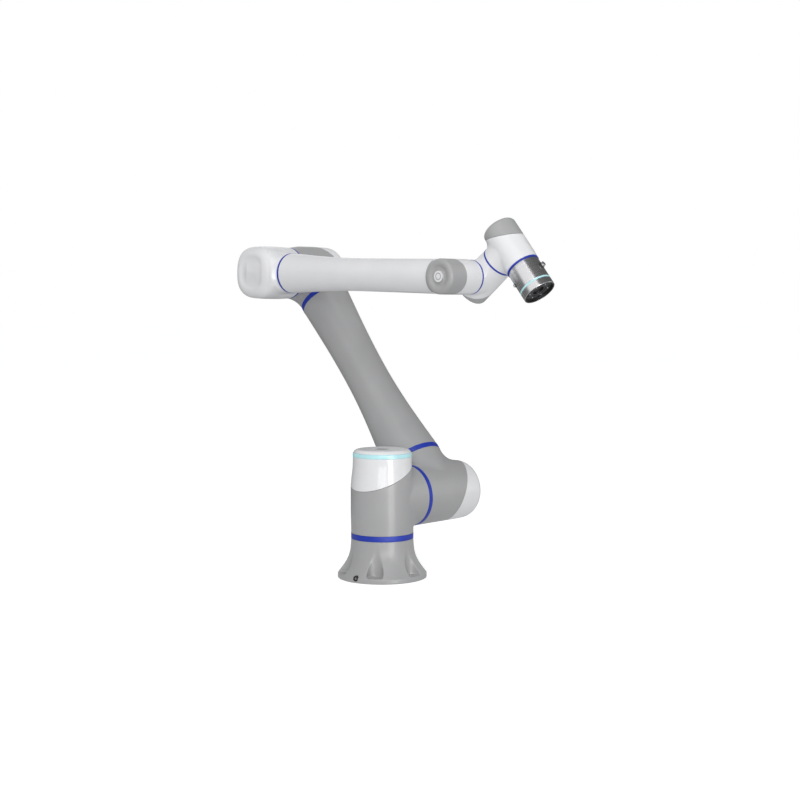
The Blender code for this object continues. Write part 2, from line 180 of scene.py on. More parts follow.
def paint(name, color, roughness, coat=0.0, coat_roughness=0.12):
    """Satin paint: a faint orange peel, cloudy colour and uneven gloss."""
    material, tree, shader = nodes_for(name)
    cloud = noise(tree, 9, 4)
    tree.links.new(ramp(tree, cloud, shaded(color, 0.975), shaded(color, 1.02)), shader.inputs["Base Color"])
    peel = noise(tree, 700, 2)
    tree.links.new(spread(tree, noise(tree, 60, 5), roughness - 0.035, roughness + 0.035),
                   shader.inputs["Roughness"])
    shader.inputs["Coat Weight"].default_value = coat
    shader.inputs["Coat Roughness"].default_value = coat_roughness
    shader.inputs["Specular IOR Level"].default_value = 0.30
    bump(tree, shader, peel, 0.25, 0.00004)
    return material


def rubber(name, color, roughness):
    """Matte rubber or moulded plastic with a fine grain."""
    material, tree, shader = nodes_for(name)
    speck = noise(tree, 320, 5)
    tree.links.new(ramp(tree, speck, shaded(color, 0.86), shaded(color, 1.12)), shader.inputs["Base Color"])
    tree.links.new(spread(tree, speck, roughness - 0.06, roughness + 0.06), shader.inputs["Roughness"])
    bump(tree, shader, noise(tree, 900, 2), 0.3, 0.00005)
    return material


def turned_metal(name, color, roughness, rings=3400):
    """Lathe-turned metal: fine marks round the piece's Z axis."""
    material, tree, shader = nodes_for(name)
    marks = noise(tree, rings, 2, (0.004, 0.004, 1))
    tree.links.new(ramp(tree, marks, shaded(color, 0.95), shaded(color, 1.03)), shader.inputs["Base Color"])
    tree.links.new(spread(tree, marks, roughness - 0.03, roughness + 0.04), shader.inputs["Roughness"])
    shader.inputs["Metallic"].default_value = 1.0
    bump(tree, shader, marks, 0.05, 0.00002)
    return material


def glow(name, color, strength):
    """A lit translucent ring with a soft unevenness from the lamps behind it."""
    material, tree, shader = nodes_for(name)
    uneven = noise(tree, 26, 2)
    tint = ramp(tree, uneven, shaded(color, 0.90), shaded(color, 1.05))
    tree.links.new(tint, shader.inputs["Base Color"])
    tree.links.new(tint, shader.inputs["Emission Color"])
    shader.inputs["Emission Strength"].default_value = strength
    shader.inputs["Roughness"].default_value = 0.25
    bump(tree, shader, noise(tree, 500, 1), 0.1, 0.00003)
    return material


def board(name):
    """Green circuit board with copper traces."""
    material, tree, shader = nodes_for(name)
    lines = noise(tree, 420, 1)
    tree.links.new(ramp(tree, lines, (0.012, 0.11, 0.045), (0.20, 0.26, 0.06), 0.52, 0.56),
                   shader.inputs["Base Color"])
    tree.links.new(spread(tree, lines, 0.4, 0.6), shader.inputs["Roughness"])
    bump(tree, shader, lines, 0.4, 0.0001)
    return material


MATERIALS = {
    GREY: paint("satin_grey_paint", (0.385, 0.385, 0.387), 0.42, 0.25, 0.22),
    WHITE: paint("satin_white_paint", (0.80, 0.80, 0.81), 0.40, 0.50, 0.09),
    BLUE: rubber("blue_seal_rubber", (0.003, 0.030, 0.40), 0.48),
    "light_ring": glow("cyan_light_guide", (0.46, 0.78, 0.82), 0.12),
    "steel": turned_metal("turned_steel", (0.50, 0.50, 0.51), 0.30),
    "tool_aluminium": turned_metal("turned_aluminium", (0.66, 0.66, 0.67), 0.26),
    # Near-black metal; on the tool's face this near-black is painted shade for the recessed face and the rim's
    # lower edge.
    "dark_metal": turned_metal("dark_metal_painted_recess_shade", (0.060, 0.060, 0.064), 0.42),
    "black_plastic": rubber("black_moulded_plastic", (0.014, 0.014, 0.015), 0.42),
    "white_plastic": paint("white_moulded_plastic", (0.76, 0.76, 0.77), 0.38),
    "motor_copper": turned_metal("copper_windings", (0.62, 0.26, 0.12), 0.38, 1500),
    "circuit_board": board("circuit_board_green"),
}

# Finishes whose marks run round the piece's own Z axis.
TURNED = ("steel", "tool_aluminium", "dark_metal", "motor_copper")


# ---------------------------------------------------------------- mesh tools


def piece(name, bm, place, body, finish, nodes=(), sharp=32):
    """Makes the bmesh a piece of the arm that stands for its CAD nodes."""
    bmesh.ops.recalc_face_normals(bm, faces=bm.faces)
    mesh = bpy.data.meshes.new(name)
    if finish not in TURNED:
        bmesh.ops.transform(bm, matrix=place, verts=bm.verts)
        place = Matrix()
    bm.to_mesh(mesh)
    bm.free()
    mesh.materials.append(MATERIALS[finish])
    mesh.shade_smooth()
    mesh.set_sharp_from_angle(angle=math.radians(sharp))
    made = added(name, mesh)
    made.matrix_world = place
    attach(made, body)
    if nodes:
        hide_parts(*nodes)
    {"dark_metal": "tool_aluminium"}.get(finish, finish)
    return made


def rounded(points, radius, steps=4):
    """The outline with each inner corner rounded; a corner on the axis stays."""
    result = [Vector(points[0])]
    for before, corner, after in zip(points, points[1:], points[2:]):
        before, corner, after = Vector(before), Vector(corner), Vector(after)
        reach = min(radius, (before - corner).length / 2.2, (after - corner).length / 2.2)
        start = corner + (before - corner).normalized() * reach
        stop = corner + (after - corner).normalized() * reach
        for step in range(steps + 1):
            part = step / steps
            result.append(start.lerp(corner, part).lerp(corner.lerp(stop, part), part))
    return result + [Vector(points[-1])]


def lathe(outline, segments=128):
    """Turns (radius, height) points round Z into a closed skin."""
    bm = bmesh.new()
    columns = []
    for index in range(segments):
        angle = math.tau * index / segments
        side, front = math.cos(angle), math.sin(angle)
        columns.append([bm.verts.new((r * side, r * front, z)) for r, z in outline])
    for index, column in enumerate(columns):
        following = columns[(index + 1) % segments]
        for a, b, c, d in zip(column, following, following[1:], column[1:]):
            bm.faces.new((a, b, c, d))
    bmesh.ops.remove_doubles(bm, verts=bm.verts, dist=1e-7)
    return bm


def closed_ring(outer, inner, low, high, edge=0.0006):
    """The closed outline of a ring, with its outer edges rounded."""
    corners = [(inner, (low + high) / 2), (inner, low), (outer, low), (outer, high), (inner, high)]
    points = rounded(corners, edge)
    return points + [points[0]]


def smooth_between(at, points):
    """A smooth curve through (position, value) points, level at each of them."""
    result = np.full_like(at, points[0][1])
    for (a, value_a), (b, value_b) in zip(points, points[1:]):
        part = np.clip((at - a) / (b - a), 0, 1)
        part = part * part * (3 - 2 * part)
        result = np.where(at > a, value_a + (value_b - value_a) * part, result)
    return result


def skin(field, low, high, step):
    """The surface where field is zero, as points and quads on a grid of that step."""
    ticks = [np.arange(a, b + step, step) for a, b in zip(low, high)]
    grid = np.stack(np.meshgrid(*ticks, indexing="ij"), -1)
    values = field(grid.reshape(-1, 3)).reshape(grid.shape[:3])
    inside = values < 0
    unit = np.eye(3, dtype=int)

    # Each cell that the surface passes through gets a point, in the middle of the places
    # where the surface crosses the cell's edges.
    cells = tuple(n - 1 for n in inside.shape)
    count = np.zeros(cells, int)
    for x in (0, 1):
        for y in (0, 1):
            for z in (0, 1):
                count += inside[x:x + cells[0], y:y + cells[1], z:z + cells[2]]
    active = (count > 0) & (count < 8)
    number = np.full(cells, -1)
    number[active] = np.arange(active.sum())
    home = np.argwhere(active)
    total, hits = np.zeros((len(home), 3)), np.zeros(len(home))
    for axis in range(3):
        others = [unit[other] for other in range(3) if other != axis]
        for first in (0, 1):
            for second in (0, 1):
                start = home + first * others[0] + second * others[1]
                f0 = values[tuple(start.T)]
                f1 = values[tuple((start + unit[axis]).T)]
                crossing = (f0 < 0) != (f1 < 0)
                part = f0[crossing] / (f0[crossing] - f1[crossing])
                total[crossing] += start[crossing] + part[:, None] * unit[axis]
                hits[crossing] += 1
    points = np.array([t[0] for t in ticks]) + step * total / hits[:, None]

    # Each edge of the grid that the surface crosses gives a quad between the four cells
    # round it, wound so that it faces outwards.
    quads = []
    for axis in range(3):
        near, far = [slice(None)] * 3, [slice(None)] * 3
        near[axis], far[axis] = slice(None, -1), slice(1, None)
        b, c = (axis + 1) % 3, (axis + 2) % 3
        for other in (b, c):
            near[other] = far[other] = slice(1, -1)
        change = inside[tuple(near)] != inside[tuple(far)]
        leaving = inside[tuple(near)][change]
        edge = np.argwhere(change)
        edge[:, b] += 1
        edge[:, c] += 1
        moves = (unit[b] + unit[c], unit[c], 0 * unit[b], unit[b])
        quad = np.stack([number[tuple((edge - move).T)] for move in moves], 1)
        quad[~leaving] = quad[~leaving][:, ::-1]
        quads.append(quad)
    quads = np.concatenate(quads)
    return settled(field, points, step), quads[(quads >= 0).all(1)]


def slope_at(field, points, reach=1e-5):
    """The field's gradient at each point."""
    columns = []
    for axis in range(3):
        move = np.zeros(3)
        move[axis] = reach
        columns.append((field(points + move) - field(points - move)) / (2 * reach))
    return np.stack(columns, 1)


def settled(field, points, step):
    """Pulls points on to the surface where field is zero."""
    for _ in range(3):
        slope = slope_at(field, points)
        size = np.maximum((slope * slope).sum(1), 0.05)
        move = (field(points) / size)[:, None] * slope
        length = np.linalg.norm(move, axis=1, keepdims=True)
        points = points - move * np.minimum(1, step / np.maximum(length, 1e-9))
    return points


def to_bmesh(points, quads):
    """The skin's points and quads as a bmesh."""
    mesh = bpy.data.meshes.new("skin")
    mesh.from_pydata(points.tolist(), [], quads.tolist())
    bm = bmesh.new()
    bm.from_mesh(mesh)
    bpy.data.meshes.remove(mesh)
    return bm


def plane(point, normal, reach=math.inf):
    """A cut: a point, the normal away from the kept side, and how far along X it goes."""
    return Vector(point), Vector(normal).normalized(), reach


def trimmed(bm, planes, field, edge=CHAMFER):
    """Cuts a skin back to several planes, and turns each cut edge in with a small chamfer."""
    shortest, slack = 0.00012, 0.0002
    for point, normal, reach in planes:
        near = [v for v in bm.verts if v.co.x < reach]
        near += [g for g in bm.edges[:] + bm.faces[:] if all(v.co.x < reach for v in g.verts)]
        bmesh.ops.bisect_plane(
            bm, geom=near, dist=1e-6, plane_co=point - normal * edge, plane_no=normal, clear_outer=True,
        )
    bmesh.ops.dissolve_degenerate(bm, edges=bm.edges, dist=shortest)
    for point, normal, _ in planes:
        level = (point - normal * edge).dot(normal)
        on_cut = {v for v in bm.verts if abs(v.co.dot(normal) - level) < slack}
        rim = [e for e in bm.edges if e.is_boundary and on_cut.issuperset(e.verts)]
        if rim:
            turn_in(bm, rim, normal, field, edge)
    return bm


def turn_in(bm, rim, normal, field, edge):
    """Gives a cut edge its chamfer and a lip that goes inwards."""
    normal_row = np.array(normal)
    for along, inwards in ((edge, edge), (0, LIP)):
        made = bmesh.ops.extrude_edge_only(bm, edges=rim)["geom"]
        rim = [g for g in made if isinstance(g, bmesh.types.BMEdge)]
        verts = [g for g in made if isinstance(g, bmesh.types.BMVert)]
        points = np.array([v.co for v in verts])
        slope = slope_at(field, points)
        flat = slope - np.outer(slope @ normal_row, normal_row)
        flat /= np.maximum(np.linalg.norm(flat, axis=1, keepdims=True), 1e-9)
        for vert, direction in zip(verts, flat):
            vert.co += normal * along - Vector(direction) * inwards


# ---------------------------------------------------------------- housings


def rounded_corner(side, top, corner):
    """The distance out of a solid with that side and top, and a rounded edge between them."""
    a, b = side + corner, top + corner
    return np.hypot(np.maximum(a, 0), np.maximum(b, 0)) + np.minimum(np.maximum(a, b), 0) - corner


def tee_field(barrel, end, corner, dish, arm, blend, shape=None, relief=None):
    """The inside-outside function of a T with a soft fillet where arm and barrel meet.

    The fillet fades out towards the barrel's mouth and the arm's end, so both stay round.
    shape may give the barrel another section than a circle, and relief the distance out
    of a cut along the arm's side.
    """
    mouth, mouth_r = barrel[0]
    limb_end, fade, sharpest = arm[-1][0], 0.13 * mouth_r, 1e-5

    def field(points):
        x, y, z = points.T
        rho = shape(x, y, z) if shape else np.hypot(x, y)
        side = rho - smooth_between(z, barrel)
        body = rounded_corner(side, z - end - dish(rho), corner)
        around = np.hypot(y, z)
        limb = np.maximum(around - smooth_between(x, arm), -x)
        if relief:
            limb = np.maximum(limb, relief(x, z))
        likeness = y * y / np.maximum(rho * around, 1e-9)
        fading = smooth_between(z, [(mouth, 0.0), (mouth + fade, 1.0)])
        fading = fading * smooth_between(x, [(limb_end - fade, 1.0), (limb_end, 0.0)])
        soft = np.maximum(blend * fading * (1 - np.clip(likeness, 0, 1)), sharpest)
        mix = np.maximum(soft - np.abs(body - limb), 0) / soft
        return np.minimum(body, limb) - mix * mix * soft / 4

    return field


def no_dish(rho):
    """A cap whose end is flat."""
    return np.zeros_like(rho)


def tee(names, body, place, barrel, end, corner, arm, cut, colors, blend, step=COARSE, dish=no_dish,
        band=None, shape=None, relief=None, seam_half=SEAM, edge=CHAMFER):
    """A T-shaped housing and its cap, parted along the plane z = middle + slope * x.

    barrel and arm are (place, radius) points along Z and X. The barrel is closed at end, with
    an edge rounded by corner, and dish says how far its end is hollowed at each radius. cut is
    the parting plane's middle and slope, and blend the fillet between barrel and arm. band is
    a stretch of the cap's side that is left out, for a light. edge is the chamfer on each cut.
    """
    (open_z, mouth_r), arm_end = barrel[0], arm[-1][0]
    field = tee_field(barrel, end, corner, dish, arm, blend, shape, relief)
    widest = max(r for _, r in barrel) + 0.010
    low = (-widest, -widest, open_z - 0.006)
    high = (arm_end + 0.006, widest, end + 0.004)
    points, quads = skin(field, low, high, step)

    middle, slope = cut
    normal = Vector((-slope, 0, 1)).normalized()
    seam = Vector((0, 0, middle))
    mouth = plane((0, 0, open_z), (0, 0, -1), mouth_r + 0.0040 if relief else math.inf)
    cuts = [mouth, plane((arm_end, 0, 0), (1, 0, 0)), plane(seam - normal * seam_half, normal)]
    housing = trimmed(to_bmesh(points, quads), cuts, field, edge)
    piece(names[0] + "_shell", housing, place, body, colors[0], [names[0]])
    cuts = [plane(seam + normal * seam_half, -normal)]
    if band:
        cuts.append(plane((0, 0, band[0]), (0, 0, 1)))
    cap = trimmed(to_bmesh(points, quads), cuts, field, edge)
    piece(names[1] + "_shell", cap, place, body, colors[1], [names[1]])
    if band:
        lid = trimmed(to_bmesh(points, quads), [plane((0, 0, band[1]), (0, 0, -1))], field, edge)
        piece(names[1] + "_lid", lid, place, body, colors[1])


def seal(name, body, place, radius, half, at, bore, node):
    """A blue ring round place's Z, with its middle at that height."""
    piece(name, lathe(closed_ring(radius, bore, at - half, at + half)), place, body, BLUE, [node])


def along_x(x=0.0, z=0.0):
    """A place whose Z runs along X."""
    return axes((x, 0, z), (1, 0, 0), (0, 0, -1))


def joint_seals():
    """The blue ring at each joint."""
    places = {
        "j1": (BASE, "base"), "j2": (axes(shoulder_at, right, (0, 0, 1)), "shoulder"),
        "j3": (axes(elbow_at, right, (0, 0, 1)), "upper_arm"), "j4": (WRIST_1, "forearm"),
        "j5": (WRIST_2, "wrist_1"), "j6": (TOOL, "wrist_2"),
    }
    for name, (radius, half, at) in RINGS.items():
        place, body = places[name]
        seal(f"{name}_seal", body, place, radius, half, at, RING_BORES[name], f"seal_ring_{name}")


def build_shoulder():
    """The column on the base: a T with a ring of light under its white lid."""
    low = RINGS["j1"][2] + RINGS["j1"][1] + SEAM - shoulder_at.z
    stub_end = RINGS["j2"][2] - RINGS["j2"][1] - SEAM
    place = Matrix.Translation(shoulder_at)
    top, stub_r = 0.1400, 0.0860
    light_low, light_high, light_r, light_bore = 0.1190, 0.1306, 0.0820, 0.0780
    plug_r, plug_depth, plug_gap = 0.0200, 0.0015, 0.0006

    def hollow(rho):
        return -plug_depth * (1 - np.clip((rho - plug_r) / 0.0008, 0, 1))

    barrel = [(low, 0.0868), (low * 0.4, 0.0878), (0.03, 0.0878), (0.105, 0.0819), (top, 0.0812)]
    tee(("shoulder_housing", "shoulder_cap"), "shoulder", place, barrel, top, 0.014,
        [(0, stub_r), (stub_end, stub_r)], cut=(0.0675, 0.45), colors=(GREY, WHITE), blend=0.028,
        dish=hollow, band=(light_low, light_high))
    light = closed_ring(light_r, light_bore, light_low + GAP, light_high - GAP, 0.0004)
    piece("status_light", lathe(light, 160), place, "shoulder", "light_ring", ["status_light_ring"])
    edge_r, foot, face, hollow_face = plug_r - plug_gap, top - 0.0030, top - 0.0004, top - 0.0010
    plug = rounded([
        (0, hollow_face), (0.0110, hollow_face), (0.0118, face), (edge_r, face), (edge_r, foot), (0, foot),
    ], 0.0004)
    piece("cap_plug", lathe(plug), place, "shoulder", "steel", ["shoulder_cap_plug"])


def tube_radius(low_r, waist_r, high_r, part):
    """The radius of a tube, which narrows to a waist a little past its middle."""
    waist = 0.52
    if part < waist:
        return waist_r + (low_r - waist_r) * (1 - math.sin(part / waist * math.pi / 2))
    return waist_r + (high_r - waist_r) * (1 - math.cos((part - waist) / (1 - waist) * math.pi / 2))


def tube(name, body, place, radii, start, stop, finish, node, wall=0.005):
    """A waisted tube from start to stop along place's Z, with turned-in ends."""
    edge, steps = 0.0004, 60
    outside = []
    for index in range(steps + 1):
        part = index / steps
        outside.append((tube_radius(*radii, part), start + (stop - start) * part))
    low = [(radii[0] - wall, start), (radii[0] - edge, start), (outside[0][0], start + edge)]
    high = [(outside[-1][0], stop - edge), (radii[2] - edge, stop), (radii[2] - wall, stop)]
    outline = low + outside[1:-1] + high
    inside = [(r - wall, at) for r, at in reversed(outside[1:-1])]
    outline += inside + [low[0]]
    piece(name, lathe(outline, 160), place, body, finish, [node])


def build_upper_arm():
    """A T at the shoulder, a waisted tube between two bands, and a T at the elbow."""
    near = RINGS["j2"][2] + RINGS["j2"][1] + SEAM - UPPER_TUBE_X
    half, low_at, high_at = 0.0070, 0.1110, UPPER_ARM - 0.1030
    low_r, waist_r, high_r = 0.0855, 0.0630, 0.0750
    place = UPPER @ Matrix.Translation((0, 0, UPPER_TUBE_X))
    shoulder_end, root_end = 0.1425, low_at - half - GAP

    def clear_of_ring(x, z):
        """A flat on the side towards the shoulder, which leaves the seal ring free."""
        return -z - smooth_between(x, [(0.0925, -near - 0.0013), (root_end, low_r + 0.0010)])

    tee(("shoulder_knuckle", "shoulder_knuckle_cap"), "upper_arm", place,
        [(near, 0.0866), (0.0, 0.0862), (0.07, 0.0858), (shoulder_end, 0.0846)], shoulder_end, 0.030,
        [(0, 0.0830), (root_end, low_r)], cut=(0.0850, 0.54), colors=(GREY, WHITE), blend=0.058,
        relief=clear_of_ring)
    tube_place = place @ along_x()
    tube("upper_tube", "upper_arm", tube_place, (low_r, waist_r, high_r), low_at + half + GAP,
         high_at - half - GAP, GREY, "upper_arm_tube")
    for name, at, radius in (("lower", low_at, low_r), ("upper", high_at, high_r)):
        seal(f"upper_arm_{name}_ring", "upper_arm", tube_place, radius + BAND_PROUD, half, at,
             radius - BAND_DEPTH, f"upper_arm_{name}_band")
    elbow = UPPER @ axes((UPPER_ARM, 0, UPPER_TUBE_X), (0, 0, 1), (-1, 0, 0))
    mouth, elbow_end = RINGS["j3"][2] + RINGS["j3"][1] + SEAM - UPPER_TUBE_X, 0.0870
    tee(("elbow_knuckle", "elbow_knuckle_cap"), "upper_arm", elbow,
        [(mouth, 0.0775), (mouth + 0.045, 0.0826), (0.0, 0.0830), (elbow_end, 0.0812)], elbow_end, 0.030,
        [(0, 0.0770), (UPPER_ARM - high_at - half - GAP, high_r)], cut=(0.0400, 0.46),
        colors=(GREY, WHITE), blend=0.050)


def build_forearm():
    """A squarish T at the elbow, a band, a waisted tube, and a small T at the wrist."""
    near = RINGS["j3"][2] - RINGS["j3"][1] - SEAM
    band_at, band_half, band_r = 0.0960, 0.0034, 0.0590
    wrist_r, waist_r = 0.0470, 0.0462
    panel_r, panel_depth = 0.0390, 0.0021
    elbow = FORE @ axes((0, 0, FORE_TUBE_X), (0, 0, -1), (1, 0, 0))

    def end_panel(rho):
        return smooth_between(rho, [(0, -panel_depth), (panel_r, -panel_depth), (0.0530, 0.0), (0.0580, 0.0)])

    def squarish(x, y, z):
        """A circle that grows into a rounded square, a little longer away from the arm."""
        part = np.clip((z + 0.01) / 0.07, 0, 1)
        part = part * part * (3 - 2 * part)
        power = 2 + 0.7 * part
        stretched = np.abs(np.where(x < 0, x * (1 - 0.075 * part), x))
        return (stretched ** power + np.abs(y) ** power) ** (1 / power)

    tee(("forearm_knuckle", "forearm_knuckle_cap"), "forearm", elbow,
        [(FORE_TUBE_X - near, 0.0775), (-0.02, 0.0790), (0.02, 0.0786), (0.078, 0.0762)], 0.0790, 0.026,
        [(0, 0.0605), (0.06, 0.0595), (band_at - band_half - GAP, band_r)], cut=(0.034, 0.50),
        colors=(WHITE, WHITE), blend=0.045, step=MEDIUM, dish=end_panel, shape=squarish,
        seam_half=0.00010, edge=0.00015)
    tube_place = FORE @ Matrix.Translation((0, 0, FORE_TUBE_X)) @ along_x()
    seal("forearm_ring", "forearm", tube_place, band_r + BAND_PROUD, band_half, band_at,
         band_r - BAND_DEPTH, "forearm_band")
    stop = FOREARM - 0.0560
    tube("fore_tube", "forearm", tube_place, (band_r, waist_r, wrist_r), band_at + band_half + GAP,
         stop, WHITE, "forearm_tube")

    wrist = FORE @ axes((FOREARM, 0, FORE_TUBE_X), (0, 0, -1), (-1, 0, 0))
    opening = FORE_TUBE_X - RINGS["j4"][2] + RINGS["j4"][1] + SEAM
    end, disc_r = 0.0630, 0.0150

    def saucer(rho):
        """A shallow ring-shaped hollow round the disc."""
        seat, depth = -0.0008, -0.0036
        return smooth_between(rho, [
            (0, seat), (disc_r + 0.0006, seat), (disc_r + 0.0030, depth), (0.0240, depth),
            (0.0325, -0.0005), (0.0345, 0.0), (0.0365, 0.0),
        ])

    tee(("forearm_wrist_housing", "forearm_wrist_cap"), "forearm", wrist,
        [(opening, 0.0465), (opening + 0.02, 0.0474), (0.0, 0.0475), (end, 0.0474)], end, 0.009,
        [(0, 0.0466), (FOREARM - stop - GAP, wrist_r)], cut=(0.0100, 0.17), colors=(WHITE, GREY),
        blend=0.022, step=FINE, dish=saucer)
    back, groove, face = end - 0.001, end + 0.0008, end + 0.0013
    disc = rounded([
        (0, face), (disc_r * 0.45, face), (disc_r * 0.52, groove), (disc_r * 0.62, groove),
        (disc_r * 0.69, face), (disc_r, face), (disc_r, back), (0, back),
    ], 0.0004)
    piece("wrist_cap_disc", lathe(disc), wrist, "forearm", "white_plastic", ["forearm_wrist_cap_disc"])
    inlay = closed_ring(disc_r * 0.66, disc_r * 0.46, end + 0.0004, end + 0.0011, 0.0002)
    piece("wrist_cap_inlay", lathe(inlay, 96), wrist, "forearm", GREY)


def build_wrist(number, body_place, offset, ring, next_ring, end, cut):
    """One of the two wrist housings, offset from its joint along the joint's axis."""
    stub = offset - RINGS[ring][2] - RINGS[ring][1] - SEAM
    opening = -(RINGS[next_ring][2] - RINGS[next_ring][1] - SEAM)
    place = body_place @ axes((0, 0, offset), (-1, 0, 0), (0, 0, -1))
    tee((f"wrist_{number}_housing", f"wrist_{number}_cap"), f"wrist_{number}", place,
        [(opening, 0.0465), (opening + 0.02, 0.0474), (0.0, 0.0475), (end, 0.0472)], end, 0.012,
        [(0, 0.0458), (stub, 0.0462)], cut=cut, colors=(WHITE, GREY), blend=0.022, step=FINE)


def soft_max(a, b, soft):
    """The larger of two distances, with a fillet of that size where they meet."""
    mix = np.maximum(soft - np.abs(a - b), 0) / soft
    return np.maximum(a, b) + mix * mix * soft / 4


def build_base():
    """The flared casting with its scooped bolt pockets, and the port at its edge."""
    top = RINGS["j1"][2] - RINGS["j1"][1] - SEAM
    foot, yaw = 0.1240, math.radians(-171.3)
    pocket_r, pocket_circle_r, floor = 0.0225, 0.1110, 0.0150
    circle_r, hole_r, first_turn = 0.1065, 0.0055, math.radians(26)
    port_at, port_r, port_depth = 0.0125, 0.0078, 0.0090

    # The side, as (height, radius) points: straight at the foot, then one hollow curve.
    profile = [
        (0.012, 0.1240), (0.0225, 0.1160), (0.040, 0.1035), (0.059, 0.0943), (0.085, 0.0882), (top, 0.0866),
    ]
    heights, radii = np.array(profile).T
    fine_z = np.linspace(heights[0], heights[-1], 80)
    fine_r = np.polynomial.polynomial.polyval(fine_z, np.polynomial.polynomial.polyfit(heights, radii, 4))

    def field(points):
        x, y, z = points.T
        rho = np.hypot(x, y)
        side = (rho - np.minimum(np.interp(z, fine_z, fine_r), foot)) * 0.85
        casting = rounded_corner(side, -z, 0.0020)
        for index in range(6):
            angle = yaw + first_turn + index * math.tau / 6
            out = x * math.cos(angle) + y * math.sin(angle)
            across = y * math.cos(angle) - x * math.sin(angle)
            scoop = soft_max(np.hypot(out - pocket_circle_r, across) - pocket_r, floor - z, 0.004)
            casting = soft_max(casting, -scoop, 0.0025)
            casting = soft_max(casting, hole_r - np.hypot(out - circle_r, across), 0.0012)
        port = np.hypot(x * math.sin(yaw) - y * math.cos(yaw), z - port_at) - port_r
        facing = x * math.cos(yaw) + y * math.sin(yaw)
        socket = np.maximum(port, foot - port_depth - facing)
        return soft_max(casting, -socket, 0.0010)

    reach = foot + 0.004
    points, quads = skin(field, (-reach, -reach, -0.004), (reach, reach, top + 0.005), 0.0017)
    casting = trimmed(to_bmesh(points, quads), [plane((0, 0, top), (0, 0, 1))], field)
    piece("base_shell", casting, BASE, "base", GREY, ["base_casting"], 40)

    port = Matrix.Rotation(yaw, 4, "Z") @ along_x(foot - 0.010, port_at)
    ring = rounded([
        (0.0036, 0.006), (0.0036, 0.0104), (0.0048, 0.0118), (0.0060, 0.0118), (0.0066, 0.0112),
        (0.0066, 0.0100), (0.0074, 0.0096), (0.0074, 0.0012), (0.0036, 0.0012),
    ], 0.0003)
    piece("port_ring", lathe(ring + [ring[0]], 64), port, "base", "black_plastic", ["base_port_ring"])
    core = rounded([
        (0, 0.0100), (0.0018, 0.0100), (0.0022, 0.0092), (0.0033, 0.0092), (0.0033, 0.002), (0, 0.002),
    ], 0.0003)
    piece("port_core", lathe(core, 48), port, "base", "steel", ["base_port_core"])


def closed_object(name, bm):
    """An object for a closed skin, which faces outwards."""
    mesh = bpy.data.meshes.new(name)
    bmesh.ops.recalc_face_normals(bm, faces=bm.faces)
    bm.to_mesh(mesh)
    bm.free()
    return added(name, mesh)


def drilled(bm, cutters):
    """Cuts closed skins out of another one."""
    target = closed_object("drilled", bm)
    tools = [closed_object("cutter", cutter) for cutter in cutters]
    for tool in tools:
        modifier = target.modifiers.new("cut", "BOOLEAN")
        modifier.object = tool
    bpy.context.view_layer.update()
    evaluated = target.evaluated_get(bpy.context.evaluated_depsgraph_get())
    result = bmesh.new()
    result.from_mesh(evaluated.to_mesh())
    for item in [target] + tools:
        bpy.data.objects.remove(item)
    return result


def placed(bm, matrix):
    """The bmesh, moved by the matrix."""
    bmesh.ops.transform(bm, matrix=matrix, verts=bm.verts)
    return bm


def cylinder(radius, low, high, segments=48):
    """A closed cylinder round Z, with that many sides."""
    return lathe([(0, low), (radius, low), (radius, high), (0, high)], segments)


